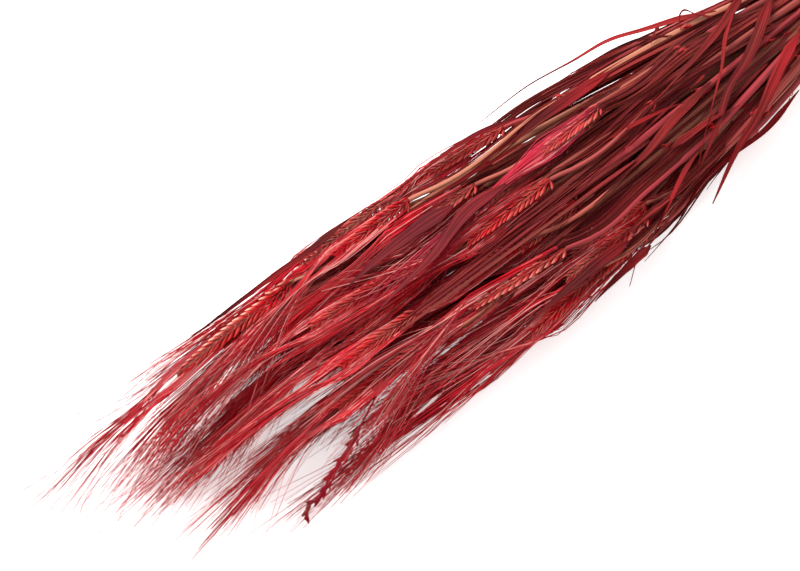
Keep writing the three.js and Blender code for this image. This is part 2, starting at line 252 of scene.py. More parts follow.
# %% [markdown]
# ## Reading a stalk's own line
#
# The finished stalk has to follow its solid. The solid is a loft, so its corners stand in rings
# square to X. The highest corner of each ring is straight above the stalk's line. Reading the rings
# back from the solid keeps the two in step when the solid changes.
#
# Between rings the line is a cubic whose slope at each ring comes from its neighbours.


# %% Lines of the stalks
def read_rings(node):
    """x, y and z of the middle of every ring of a stalk, from the awns' end to the cut end."""
    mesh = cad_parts[node].data
    corners = np.empty(len(mesh.vertices) * 3)
    mesh.vertices.foreach_get("co", corners)
    corners = np.unique(corners.reshape(-1, 3).round(6), axis=0)
    rings = []
    for x in np.unique(corners[:, 0].round(5)):
        ring = corners[np.abs(corners[:, 0] - x) < 1e-5]
        if len(ring) >= 4:
            top = ring[ring[:, 2].argmax()]
            rings.append((x, top[1], (ring[:, 2].max() + ring[:, 2].min()) / 2))
    return np.array(rings)


class Line:
    """A stalk's line. at(x) is the point there: a cubic between rings with shared slopes, and
    straight on past the last ring."""

    def __init__(self, node):
        rings = read_rings(node)
        self.x, self.yz = rings[:, 0], rings[:, 1:]
        self.slope = np.gradient(self.yz, self.x, axis=0)
        self.awn_end, self.ear_tip, self.ear_base = self.x[0], self.x[2], self.x[12]
        self.joint, self.cut = self.x[-4], self.x[-1]

    def at(self, x):
        i = np.clip(np.searchsorted(self.x, x) - 1, 0, len(self.x) - 2)
        step = (self.x[i + 1] - self.x[i])[..., None]
        inside = np.clip(x, self.x[0], self.x[-1])
        t = (inside[..., None] - self.x[i][..., None]) / step
        yz = cubic(t, step, self.yz[i], self.yz[i + 1], self.slope[i], self.slope[i + 1])
        yz = yz + (x - inside)[..., None] * self.slope[i]
        return np.concatenate([np.asarray(x)[..., None], yz], axis=-1)


# Two ears lie a little beside or above their solids: the rings moved, and by how much in y and z.
MOVED_EARS = {"stalk_19": (slice(1, 14), (2.5, 7)), "stalk_10": (slice(0, 16), (4, 0))}
stalk_names = sorted(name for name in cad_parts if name.startswith("stalk"))
lines = {name: Line(name) for name in stalk_names}
for name, (rings, offset) in MOVED_EARS.items():
    lines[name].yz[rings] += np.array(offset) * MM
print("rings per stalk:", sorted({len(line.x) for line in lines.values()}))

# %% [markdown]
# ## Leaving the ears in view
#
# The bundle was laid out so that its best ears show. Loose strands fall beside a plump ear more
# often than across it. So every awn and every blade that hugs a stalk gets several possible
# courses, and takes the one that covers the least of the shown ears, looking from the bundle's front.

# %% Courses beside the ears
FRONT = unit(np.array([-0.32, -0.39, 0.87]))
SHOWN = [f"stalk_{number}" for number in (18, 19, 26, 31, 32, 33, 34, 35, 36, 37, 38, 39, 40, 41, 42)]
EAR_REACH = 4.6 * MM
SIDE_LIMIT = 57 * MM
SIDE_SLACK = 11 * MM


def points_over_ears(path, own):
    """How many points of each path lie over another stalk's shown ear, and how many stand out of
    the bundle's side. A point slides down along FRONT to the ear's height, and counts when it
    lands within EAR_REACH of the ear's line."""
    hits = 2.0 * (np.abs(path[..., 1]) > SIDE_LIMIT + 0.4 * SIDE_SLACK)
    for name in SHOWN:
        line = lines[name]
        x = path[..., 0]
        for _ in range(2):
            drop = path[..., 2] - np.interp(x, line.x, line.yz[:, 1])
            x = path[..., 0] - FRONT[0] / FRONT[2] * drop
        y = path[..., 1] - FRONT[1] / FRONT[2] * drop
        gap = np.abs(y - np.interp(x, line.x, line.yz[:, 0]))
        inside = (x > line.ear_tip) & (x < line.ear_base) & (gap < EAR_REACH) & (drop > 0)
        hits += inside * (name != own)
    return hits.sum(axis=-1)


def drawn_in(y):
    """Keeps strands within the bundle: past SIDE_LIMIT, a level distance d becomes
    SIDE_SLACK * (1 - exp(-d / (1.6 * SIDE_SLACK)))."""
    past = np.maximum(np.abs(y) - SIDE_LIMIT, 0)
    kept = SIDE_SLACK * (1 - np.exp(-past / (1.6 * SIDE_SLACK)))
    return np.sign(y) * (np.minimum(np.abs(y), SIDE_LIMIT) + kept)


def freest(courses, own, crossing):
    """Picks one course for each strand from courses of shape (strands, choices, points, 3): the
    one with the lowest count of points_over_ears, the earlier of two equal ones. A share,
    crossing, takes its first course whatever it covers."""
    score = points_over_ears(courses, own) + 0.05 * np.arange(courses.shape[1])
    pick = np.where(rng.uniform(size=len(courses)) < crossing, 0, score.argmin(axis=1))
    chosen = courses[np.arange(len(courses)), pick]
    chosen[..., 1] = drawn_in(chosen[..., 1])
    return chosen


# %% [markdown]
# ## Tones
#
# Dye takes unevenly: one stem is dusty rose, the next still shows its straw, and the ears are the
# brightest red. Every strand carries a tone of three numbers, from 0 to 1: how bright its dye is,
# how much bare straw shows, and how pink it is. On the grains and awns the first two also carry
# painted shade and painted highlights. The materials turn the tone into colour.


# %% Tone helper
def tones(count, bright, straw, pink=(0.0, 0.12)):
    """One random tone for each strand, from three ranges, ready for (paths, points, 3)."""
    columns = [rng.uniform(low, high, count) for low, high in (bright, straw, pink)]
    return np.stack(columns, axis=-1)[:, None]


# %% [markdown]
# ## The stem
#
# A dried barley stem is a hollow straw. Below its last joint it is wrapped in leaf sheaths, which
# make it thicker; above, a thin bare stalk carries the ear. The joints are short swellings with a
# pinch on each side. The cut end shows the hollow.

# %% Stem
STEM_CORNERS = 10
SHEATH_RADIUS = 1.85 * MM
BARE_RADIUS = 1.2 * MM
HOLLOW_RADIUS = 0.95 * MM
HOLLOW_DEPTH = 7 * MM
HOLLOW_RINGS = 3
SWELLING = 0.38 * MM
PINCH = 0.2 * MM


def stem_joints(line, extra):
    """Places of the joints: the solid's own one, one more towards the cut end if it fits, and
    those that the look names, in the bundle's own millimetres."""
    joints = [line.joint] + [x * MM + shift[0] for x in extra]
    lower = line.joint + rng.uniform(0.085, 0.12)
    if lower < line.cut - 0.03:
        joints.append(lower)
    return joints


def stem_radius(x, line, joints, mouth):
    """Sheathed radius below the sheath's mouth and bare radius above it, with a swelling at each
    joint between two pinches."""
    edge = 1 / (1 + np.exp(-(x - mouth) / (0.6 * MM)))
    radius = BARE_RADIUS + (SHEATH_RADIUS - BARE_RADIUS) * edge
    radius = radius + 0.12 * MM * edge * np.sin((x - mouth) / 0.03)
    for joint in joints:
        gap = np.abs(x - joint) / MM
        radius = radius + SWELLING * np.exp(-((gap / 1.1) ** 2))
        radius = radius - PINCH * np.exp(-(((gap - 3) / 1.2) ** 2))
    return radius


def add_stem(strands, line, look):
    """A ribbed tube from the bottom of the hollow, back over the rim of the cut end and up to the
    ear. Its rings stand closer at the joints and at the sheath's mouth, and both are returned."""
    joints = stem_joints(line, look["joints"])
    mouth = line.joint - rng.uniform(0.25, 0.6) * (line.joint - line.ear_base)
    fine = np.linspace(-4, 4, 9) * MM
    top = line.ear_base - 2 * MM
    closer = [place + fine for place in joints + [mouth]]
    x = np.concatenate([np.linspace(line.cut, top, 56)] + closer)
    x = np.sort(x[(x <= line.cut) & (x >= top)])[::-1]
    radius = stem_radius(x, line, joints, mouth)
    path = line.at(x)
    side, up = across_path(path[None])
    inside = line.at(np.array([line.cut - HOLLOW_DEPTH, line.cut, line.cut]))
    path = np.concatenate([inside, path])[None]
    side = np.concatenate([np.repeat(side[:, :1], HOLLOW_RINGS, axis=1), side], axis=1)
    up = np.concatenate([np.repeat(up[:, :1], HOLLOW_RINGS, axis=1), up], axis=1)
    radius = np.concatenate([[HOLLOW_RADIUS, HOLLOW_RADIUS, radius[0] - 0.1 * MM], radius])
    angle = np.linspace(0, 2 * np.pi, STEM_CORNERS, endpoint=False)
    ribs = 1 + 0.035 * np.cos(3 * angle + rng.uniform(0, 6))
    outline = oval(radius, radius, STEM_CORNERS) * ribs[:, None]
    tone = np.broadcast_to(tones(1, *look["stem"]), (1, len(radius), 3)).copy()
    bare = np.concatenate([np.zeros(HOLLOW_RINGS), 1 / (1 + np.exp((x - mouth) / (1 * MM)))])
    tone[0, :, 0] += 0.12 * bare
    tone[0, :HOLLOW_RINGS, 1] = 0.95
    for joint in joints:
        near = np.concatenate([np.zeros(HOLLOW_RINGS), np.exp(-(((x - joint) / (2.2 * MM)) ** 2))])
        tone[0, :, 0] += 0.9 * near
        tone[0, :, 1] *= 1 - near
    strands.sweep(path, side, up, outline[None], np.clip(tone, 0, 1), STRAW)
    return joints, mouth


# %% [markdown]
# ## The torn collars at the joints
#
# Where a blade has broken off, a small bright collar stays round the joint. It is a few short
# flakes that start on the joint and curl away from the stem.

# %% Collar
FLAKES = 9


def add_collar(strands, line, x):
    """Short flakes round a joint: each leaves the stem at its own angle and curls outward."""
    s = np.linspace(0, 1, 6)
    angle = rng.uniform(0, 2 * np.pi, (FLAKES, 1))
    length = rng.uniform(1.5, 5, (FLAKES, 1)) * MM
    away = (1.9 + rng.uniform(0.4, 1.8, (FLAKES, 1)) * np.sin(2.4 * s)) * MM
    place = line.at(x - rng.choice([-1, 1], (FLAKES, 1), p=[0.3, 0.7]) * length * s)
    path = place + np.stack([0 * away, away * np.cos(angle), away * np.sin(angle)], axis=-1)
    side, up = across_path(path, angle + np.pi / 2 + 0 * s)
    width = rng.uniform(0.5, 1.1, (FLAKES, 1)) * MM * (1 - 0.75 * s)
    outline = oval(width, 0.16 * MM + 0 * width, 4)
    strands.sweep(path, side, up, outline, tones(FLAKES, (0.85, 1), (0, 0.1)), GRAIN)


# %% [markdown]
# ## The ear
#
# Two-row barley carries one row of plump grains down each side of a flat ear. Each grain leans
# outward and overlaps the next like a shingle, which draws the plaited pattern. Between the rows,
# on both faces, lie slim empty spikelets.
#
# A grain is an oval outline along a short leaning path. Its size follows sin(t) down the ear, so
# both ends of the ear taper.

# %% Ear
GRAIN_LENGTH = 8.4 * MM
GRAIN_HALF_WIDTH = 1.0 * MM
GRAIN_HALF_THICKNESS = 1.2 * MM
GRAIN_LEAN = math.radians(34)
GRAIN_STATIONS = np.array([0.0, 0.1, 0.3, 0.55, 0.8, 1.0])
GRAIN_PROFILE = np.array([0.3, 0.72, 1.0, 0.95, 0.58, 0.2])


def ear_frame(line, x, roll):
    """Line point, travel, flat direction and face direction of the ear at each x."""
    point = line.at(x)
    travel = unit(line.at(x - 1 * MM) - point)
    return point, travel, *square_to(travel, roll)


def leaning_paths(point, travel, flat, face, forward, outward, lift):
    """Path point = line point + travel * forward + flat * outward + face * lift."""
    pairs = ((travel, forward), (flat, outward), (face, lift))
    return point[:, None] + sum(axis[:, None] * amount[..., None] for axis, amount in pairs)


def add_ear(strands, line, look):
    """Grains at equal steps down the ear, on alternate sides; returns where their tips are."""
    length_of_ear = (line.ear_base - line.ear_tip) * look["filled"]
    grains = int(length_of_ear / look["step"])
    t = (np.arange(grains) + 0.6) / (grains + 2.0)
    row = np.where(np.arange(grains) % 2, 1.0, -1.0)
    size = (0.62 + 0.38 * np.sin(np.pi * np.clip(t + 0.12, 0, 1)) ** 0.6) * rng.uniform(0.93, 1.07, grains)
    x = line.ear_base - t * length_of_ear
    placed = ear_frame(line, x, look["roll"])
    lean = GRAIN_LEAN * (1.1 - 0.45 * t) * rng.uniform(0.88, 1.12, grains)
    s = GRAIN_STATIONS
    length = GRAIN_LENGTH * size
    forward = length[:, None] * np.cos(lean)[:, None] * s
    outward = row[:, None] * (0.5 * MM + length[:, None] * np.sin(lean)[:, None] * (s - 0.25 * s**2))
    lift = (rng.normal(0, 0.12, (grains, 1)) + 0.5 * s - 0.25) * MM
    path = leaning_paths(*placed, forward, outward, lift)
    side, up = across_path(path, (0.35 * row)[:, None] + 0 * s)
    width = GRAIN_HALF_WIDTH * size[:, None] * GRAIN_PROFILE
    thick = GRAIN_HALF_THICKNESS * size[:, None] * GRAIN_PROFILE
    tone = np.repeat(tones(grains, *look["grain"]), len(s), axis=1)
    # Painted shade and light: each grain is darker at its base, where the grain beside it overlaps it, and
    # brighter towards its open tip.
    tone[..., 0] += np.array([-0.5, -0.4, -0.15, 0.1, 0.25, 0.25])
    # Paler tips: the tone turns towards straw near the tip. This is partly the grain's own colour and
    # partly a painted highlight, and the look may give it to one row only.
    pale_highlight = look["pale_tips_and_highlight"] * np.where(row == look["pale_highlight_row"], 1.0, look["pale_highlight_row"] == 0)
    tone[..., 1] += np.array([0, 0, 0, 0.05, 0.3, 0.7]) * pale_highlight[:, None]
    strands.sweep(path, side, up, oval(width, thick, 6), np.clip(tone, 0, 1), GRAIN)
    tips = (x, row, lift[:, -1], outward[:, -1], forward[:, -1])

    for face_side in (1.0, -1.0):
        s = np.linspace(0, 1, 4)
        husk = 6.5 * MM * size * rng.uniform(0.8, 1.1, grains)
        forward = husk[:, None] * s + 1.5 * MM
        outward = row[:, None] * (0.3 + rng.uniform(1.0, 2.0, (grains, 1)) * s) * MM
        lift = face_side * (1.15 + rng.uniform(0.1, 0.6, (grains, 1)) * s) * MM
        path = leaning_paths(*placed, forward, outward, lift)
        side, up = across_path(path)
        width = 0.36 * MM * size[:, None] * np.array([0.6, 1.0, 0.7, 0.1])
        tone = tones(grains, *look["husk"])
        strands.sweep(path, side, up, oval(width, 0.45 * width, 4), tone, GRAIN)

    spine = line.at(np.linspace(line.ear_base + 0.001, line.ear_tip + 0.002, 16))[None]
    side, up = across_path(spine)
    strands.sweep(spine, side, up, oval(0.9 * MM, 0.7 * MM, 6), tones(1, (0.2, 0.4), (0, 0.1)), GRAIN)
    return tips


# %% [markdown]
# ## The awns
#
# Each grain ends in a long bristle, the awn. It leaves along the grain, bends back to the line of
# the ear within a few centimetres and then runs nearly straight. Awns from the tip of the ear reach
# furthest. Each is a three-sided strand that thins to a point.
#
# A real ear has about thirty awns. Most ears here carry ninety, because they also stand for the
# ears inside the bundle that no solid was made for.

# %% Awns
AWN_POINTS = 12
AWN_HALF_WIDTH = 0.31 * MM
AWN_CHOICES = 10
CLUMPS = 5
STRAYING = 0.12
BENT = 0.08
LOWEST_AWN = 0.4 * MM
OVERHANG = 9 * MM
WIDEST_SPREAD = 5.5

# Awns whose solid ends past FAR_AWNS may be longer than it by FAR_EXTRA, the others by NEAR_EXTRA.
FAR_AWNS = -232 * MM
FAR_EXTRA = 22 * MM
NEAR_EXTRA = 6 * MM

# Distances from the bundle's middle line: ears beyond FULL_EARS bear fewer awns, and stalks beyond
# EDGE_STALK lean their awns inwards.
FULL_EARS = 45 * MM
EDGE_STALK = 40 * MM


def add_awns(strands, name, look, tips):
    """Awn point = the stalk's line + a level offset and a height. Beside the ear the offset is the
    grain's own; past the ear it becomes that of the clump that the awn has gathered in, and the
    ends swing towards the bundle's lower edge. On the outermost stalks they lean back inwards.
    One awn in twelve is bent and one in eight strays."""
    line = lines[name]
    grains = len(tips[0])
    end_y = line.yz[0, 0]
    awns = max(grains, look["awns"] if abs(end_y) < FULL_EARS else look["edge_awns"])
    pick = np.concatenate([np.arange(grains), rng.integers(0, grains, awns - grains)])
    pick = (grains * look["bare"] + pick * (1 - look["bare"])).astype(int)
    count = len(pick)
    x, row, lift, outward, forward = (values[pick][:, None, None] for values in tips)
    s = np.linspace(0, 1, AWN_POINTS)
    start = x - forward + 1.5 * MM
    reach = (line.ear_base - x) / (line.ear_base - line.ear_tip)
    share = (0.66 + 0.34 * reach) * (0.76 + 0.46 * rng.uniform(0, 1, (count, 1, 1)) ** 2)
    longest = line.ear_tip - line.awn_end + (FAR_EXTRA if line.awn_end < FAR_AWNS else NEAR_EXTRA)
    end = np.maximum(line.ear_tip - longest * share, cad_bounds[0][0] - OVERHANG)
    along = start + (end - start) * s
    stray = np.where(rng.uniform(size=(count, 1, 1)) < STRAYING, 2.4, 1.0)
    clump = rng.normal(0, 1, CLUMPS)[rng.integers(0, CLUMPS, (count, 1, 1))]
    wider = 0.45 + 0.3 * np.arange(AWN_CHOICES)[:, None]
    own = rng.normal(0, 1, (count, AWN_CHOICES, 1)) * wider * stray
    spread = look["clumping"] * clump + own + 0.3 * row + look["drift"]
    spread = np.clip(spread, -WIDEST_SPREAD, WIDEST_SPREAD)
    broken = (rng.uniform(size=(count, 1, 1)) < BENT) * rng.uniform(-55, 55, (count, 1, 1))
    bend = broken * np.maximum(0, s - rng.uniform(0.55, 0.85, (count, 1, 1)))
    ear_end = line.ear_base - look["filled"] * (line.ear_base - line.ear_tip)
    past = np.clip((ear_end - along) / (ear_end - end), 0, 1)
    fan = row * rng.uniform(0.02, 0.11, (count, 1, 1)) * np.minimum(start - along, 0.03)
    beside = (outward + fan) * rng.uniform(look["inner"], 1.15, (count, 1, 1))
    wide = beside * (1 - past) ** 5 + (look["spread"] * spread * past**1.25 + bend) * MM
    swing = look["swing"] * (60 * MM + end_y) * past**2
    inward = np.sign(end_y) * max(abs(end_y) - EDGE_STALK, 0)
    wide = wide + swing * rng.uniform(0.5, 1.5, (count, 1, 1)) + sway(count, s, 1.3 * MM)[:, None] * past
    wide = wide + inward * rng.uniform(-0.1, 1.1, (count, 1, 1)) * past
    high = lift * (1 - past) + rng.normal(0, 1.5, (count, 1, 1)) * MM * past
    high = high + sway(count, s, 0.8 * MM)[:, None] * past
    path = np.repeat(line.at(along), AWN_CHOICES, axis=1)
    path[..., 1] -= wide * np.cos(look["roll"] * (1 - past) ** 2)
    path[..., 2] += high - wide * np.sin(look["roll"] * (1 - past) ** 2)
    path[..., 2] = np.maximum(path[..., 2], LOWEST_AWN)
    path = freest(path, name, look["crossing"])
    side, up = across_path(path)
    width = AWN_HALF_WIDTH * rng.uniform(0.55, 1.2, (count, 1)) * (1 - 0.65 * s**1.3)
    tone = tones(count, *look["awn"])
    # Painted highlights: a share of the awns turns pale, standing in for the glints of light along them.
    pale_highlight = rng.uniform(size=(count, 1)) < look["pale_glint_awns"]
    tone[..., 1] = np.where(pale_highlight, rng.uniform(0.4, 1.0, (count, 1)), tone[..., 1])
    strands.sweep(path, side, up, oval(width, width, 3), tone, AWN)


# %% [markdown]
# ## Leaf blades along a stalk
#
# Most blades have dried against the stems and run along the bundle. Each is a thin folded strip
# that tapers to its tip and slowly twists.

# %% Blades that hug a stalk
HUGGING_BLADES = 9
OUTER_STALK = 22.5 * MM
BLADE_POINTS = 26
BLADE_CHOICES = 5
BLADE_THICKNESS = 0.22 * MM


def add_hugging_blades(strands, name, look):
    """Blade point = the stalk's line + a level offset that changes steadily from root to tip. On
    stalks past OUTER_STALK the root lies on the inner side."""
    line = lines[name]
    count = HUGGING_BLADES
    s = np.linspace(0, 1, BLADE_POINTS)
    start = line.joint + rng.uniform(-0.02, 0.05, (count, 1, 1))
    length = rng.uniform(0.09, 0.2, (count, 1, 1))
    x = np.maximum(start - length * s, line.ear_base - 0.004 - 0.012 * s)
    path = np.repeat(line.at(x), BLADE_CHOICES, axis=1)
    y = line.at(np.array([line.joint]))[0, 1]
    either = rng.choice([-1.0, 1.0], (count, BLADE_CHOICES, 1))
    hand = np.where(abs(y) > OUTER_STALK, -np.sign(y), either)
    root, tip = (rng.uniform(low, 7, (count, BLADE_CHOICES, 1)) * MM for low in (0, -5))
    path[..., 1] += hand * (root + (tip - root) * s) + sway(count, s, 0.8 * MM)[:, None]
    path[..., 2] += rng.uniform(0.2, 2.2, (count, 1, 1)) * MM * np.sin(np.pi * s)
    path[..., 2] = np.maximum(path[..., 2], 2 * MM)
    path = freest(path, name, crossing=0.0)
    turn = rng.uniform(-0.7, 0.7, (count, 1)) + rng.uniform(-2.2, 2.2, (count, 1)) * s
    side, up = across_path(path, turn)
    half = rng.uniform(0.5, 1.6, (count, 1)) * MM
    width = half * np.minimum(1, 0.5 + 4 * s) * (1 - s**2.2 * 0.93)
    fold = width * rng.uniform(0.2, 1.0, (count, 1))
    outline = leaf_outline(width, fold, BLADE_THICKNESS)
    strands.sweep(path, side, up, outline, tones(count, *look["blade"]), BLADE)


# %% [markdown]
# ## Leaf blades under the awns
#
# Seen from above, hardly any table shows through the middle of the bundle, because old dark
# blades lie under the awns of the lowest stalks.

# %% Blades under the awns
UNDER_BLADES = 4
UNDER_HEIGHT = 1.5 * MM


def add_under_blades(strands, line):
    """Blade point = the stalk's line, let down to the table by the time it reaches the awns."""
    s = np.linspace(0, 1, BLADE_POINTS)
    start = line.ear_base + rng.uniform(0.0, 0.02, (UNDER_BLADES, 1))
    length = rng.uniform(0.55, 0.8, (UNDER_BLADES, 1)) * (line.ear_base - line.awn_end)
    path = line.at(start - length * s)
    path[..., 1] += rng.normal(0, 2.5, (UNDER_BLADES, 1)) * MM * (1 + s) + sway(UNDER_BLADES, s, 1.5 * MM)
    path[..., 1] = drawn_in(path[..., 1])
    down = np.maximum(path[..., 2] - rng.uniform(3, 5, (UNDER_BLADES, 1)) * MM, UNDER_HEIGHT)
    path[..., 2] = path[..., 2] + (down - path[..., 2]) * np.minimum(1, 4 * s)
    side, up = across_path(path, rng.uniform(-0.4, 0.4, (UNDER_BLADES, 1)) * (1 + s))
    width = rng.uniform(2.0, 3.2, (UNDER_BLADES, 1)) * MM * (1 - s**2 * 0.9)
    outline = leaf_outline(width, width * 0.2, BLADE_THICKNESS)
    strands.sweep(path, side, up, outline, tones(UNDER_BLADES, (0.4, 0.9), (0.0, 0.05)), BLADE)


# %% [markdown]
# ## Finishes
#
# Three effects serve every material, so each is a node group: fibres that run along a strand,
# larger blotches where the dye took unevenly, and the mix that turns a tone into colour.


# %% Node helpers
def srgb(red, green, blue):
    """A colour from its screen values, 0 to 255, as linear light."""
    c = np.array([red, green, blue]) / 255
    linear = np.where(c <= 0.04045, c / 12.92, ((c + 0.055) / 1.055) ** 2.4)
    return (*map(float, linear), 1.0)


def new_group(name, inputs, outputs):
    """A shader node group with named sockets. inputs and outputs map a name to a socket kind."""
    group = bpy.data.node_groups.new(name, "ShaderNodeTree")
    for direction, sockets in (("INPUT", inputs), ("OUTPUT", outputs)):
        for socket, kind in sockets.items():
            group.interface.new_socket(socket, in_out=direction, socket_type="NodeSocket" + kind)
    return group, group.nodes.new("NodeGroupInput"), group.nodes.new("NodeGroupOutput")


def feed(tree, node, values):
    """Links each named input of a node to its socket, or sets it to its number."""
    for name, value in values.items():
        if isinstance(value, bpy.types.NodeSocket):
            tree.links.new(value, node.inputs[name])
        else:
            node.inputs[name].default_value = value


def mixed(tree, factor, first, second):
    """A colour mix node; returns its result socket. Its colour inputs are numbers 6 and 7."""
    mix = tree.nodes.new("ShaderNodeMix")
    mix.data_type = "RGBA"
    feed(tree, mix, {0: factor, 6: first, 7: second})
    return mix.outputs[2]


def calculated(tree, operation, *values, clamp=False):
    """A math node on sockets or numbers; returns its result socket."""
    node = tree.nodes.new("ShaderNodeMath")
    node.operation = operation
    node.use_clamp = clamp
    feed(tree, node, dict(enumerate(values)))
    return node.outputs[0]


def remapped(tree, value, low, high, out_low, out_high):
    """A map range node from low..high to out_low..out_high; returns its result socket."""
    node = tree.nodes.new("ShaderNodeMapRange")
    ends = {"From Min": low, "From Max": high, "To Min": out_low, "To Max": out_high}
    feed(tree, node, {"Value": value, **ends})
    return node.outputs["Result"]


def stretched_noise(group, place, stretch, **values):
    """Noise at a place that is first multiplied by stretch; returns its result socket."""
    scaled = group.nodes.new("ShaderNodeVectorMath")
    scaled.operation = "MULTIPLY"
    feed(group, scaled, {0: place, 1: stretch})
    noise = group.nodes.new("ShaderNodeTexNoise")
    feed(group, noise, {"Vector": scaled.outputs[0], **values})
    return noise.outputs[0]


# %% Fibres group
def make_fibres():
    """Fibres: noise stretched along the strand. The UV map runs round the strand (0 to 1) and
    along it (metres), so scaling the two differently gives long thin streaks."""
    group, given, result = new_group(
        "fibres", {"Around": "Float", "Along": "Float", "Contrast": "Float"}, {"Streak": "Float"}
    )
    uv = group.nodes.new("ShaderNodeUVMap")
    uv.uv_map = "strand"
    scale = group.nodes.new("ShaderNodeCombineXYZ")
    feed(group, scale, {0: given.outputs["Around"], 1: given.outputs["Along"]})
    settings = {"Scale": 1.0, "Detail": 5.0, "Roughness": 0.65}
    noise = stretched_noise(group, uv.outputs[0], scale.outputs[0], **settings)
    centred = calculated(group, "SUBTRACT", noise, 0.5)
    stronger = calculated(group, "MULTIPLY", centred, given.outputs["Contrast"])
    group.links.new(calculated(group, "ADD", stronger, 0.5, clamp=True), result.inputs["Streak"])
    return group


# %% Blotches group
def make_blotches():
    """Blotches: noise in the object's own space, stretched three times along the bundle."""
    group, given, result = new_group("dye_blotches", {"Size": "Float"}, {"Blotch": "Float"})
    place = group.nodes.new("ShaderNodeTexCoord").outputs["Object"]
    noise = stretched_noise(group, place, (0.33, 1, 1), Scale=given.outputs["Size"], Detail=3.0)
    group.links.new(remapped(group, noise, 0.32, 0.68, 0, 1), result.inputs["Blotch"])
    return group


# %% Dye group
def make_dye():
    """Dye: deep to bright by the tone's first number, then towards straw by the second and towards
    pink by the third. Blotches and streaks shift the first two."""
    colours = {name: "Color" for name in ("Deep", "Bright", "Straw", "Pink")}
    given_sockets = {**colours, "Streak": "Float", "Blotch": "Float"}
    group, given, result = new_group("dye", given_sockets, {"Color": "Color"})
    attribute = group.nodes.new("ShaderNodeAttribute")
    attribute.attribute_name = "tone"
    parts = group.nodes.new("ShaderNodeSeparateColor")
    group.links.new(attribute.outputs["Color"], parts.inputs[0])

    def combined(first, second, weight):
        return calculated(group, "MULTIPLY_ADD", second, weight, first, clamp=True)

    blotch = remapped(group, given.outputs["Blotch"], 0, 1, -0.5, 0.5)
    streak = remapped(group, given.outputs["Streak"], 0, 1, -0.5, 0.5)
    brightness = combined(combined(parts.outputs[0], blotch, 0.6), streak, 0.75)
    straw = combined(combined(parts.outputs[1], blotch, -0.14), streak, 0.18)
    colour = mixed(group, brightness, given.outputs["Deep"], given.outputs["Bright"])
    colour = mixed(group, straw, colour, given.outputs["Straw"])
    colour = mixed(group, parts.outputs[2], colour, given.outputs["Pink"])
    group.links.new(colour, result.inputs["Color"])
    return group


fibres, blotches, dye = make_fibres(), make_blotches(), make_dye()
print("node groups:", fibres.name, blotches.name, dye.name)


# %% Plant material
FIBRE_RELIEF = 0.4 * MM
DULL = 0.06


def plant_material(name, palette, around, along, contrast, blotch_size, rough, bump):
    """A dyed plant surface: the three groups feed colour, roughness and bump."""
    material = bpy.data.materials.new(name)
    material.use_nodes = True
    tree = material.node_tree
    shader = tree.nodes["Principled BSDF"]

    def placed(group, **values):
        node = tree.nodes.new("ShaderNodeGroup")
        node.node_tree = group
        feed(tree, node, values)
        return node

    fibre = placed(fibres, Around=around, Along=along, Contrast=contrast)
    blotch = placed(blotches, Size=blotch_size)
    streak = fibre.outputs["Streak"]
    colour = placed(dye, **palette, Streak=streak, Blotch=blotch.outputs["Blotch"])
    relief = tree.nodes.new("ShaderNodeBump")
    feed(tree, relief, {"Strength": bump, "Distance": FIBRE_RELIEF, "Height": streak})
    feed(tree, shader, {"Base Color": colour.outputs["Color"], "Normal": relief.outputs[0]})
    feed(tree, shader, {"Roughness": remapped(tree, streak, 0, 1, *rough), "Specular IOR Level": DULL})
    return material


# %% [markdown]
# Stems are dusty rose or straw brown. Ears are the clearest red; each grain is darker at its base,
# which is painted shade, and its paler tip is partly straw and partly a painted highlight. Awns are
# finer, and a share of them is pale: painted highlights along the awns. Leaves are maroon and papery,
# with close veins.

# %% The plant materials
def palette(deep, bright, straw, pink):
    """The four colours of the dye group, given by their screen values."""
    return {"Deep": srgb(*deep), "Bright": srgb(*bright), "Straw": srgb(*straw), "Pink": srgb(*pink)}


straw = plant_material(
    "dyed straw",
    palette((70, 8, 12), (156, 54, 55), (178, 114, 90), (156, 50, 66)),
    around=13, along=10, contrast=3.0, blotch_size=55, rough=(0.62, 0.4), bump=0.5,
)
# The grains' cream straw colour gives their pale tips, partly a painted highlight.
grain = plant_material(
    "dyed grain",
    palette((72, 0, 4), (178, 8, 16), (238, 168, 146), (184, 26, 70)),
    around=5, along=160, contrast=1.6, blotch_size=90, rough=(0.6, 0.42), bump=0.6,
)
# Painted highlight: the awns' pale straw colour serves mostly the pale awns, the painted glints.
awn = plant_material(
    "dyed awn",
    palette((98, 0, 5), (196, 14, 24), (220, 156, 148), (170, 26, 62)),
    around=1.5, along=30, contrast=1.6, blotch_size=60, rough=(0.55, 0.4), bump=0.2,
)
blade = plant_material(
    "dyed leaf",
    palette((54, 3, 8), (152, 28, 31), (164, 88, 68), (122, 42, 50)),
    around=17, along=8, contrast=3.0, blotch_size=40, rough=(0.6, 0.38), bump=0.8,
)
twine = plant_material(
    "natural twine",
    palette((104, 74, 42), (168, 132, 86), (186, 152, 106), (160, 100, 80)),
    around=14, along=420, contrast=2.6, blotch_size=160, rough=(0.9, 0.75), bump=1.0,
)
finishes = [straw, grain, awn, blade, twine]
print("materials:", [material.name for material in finishes])
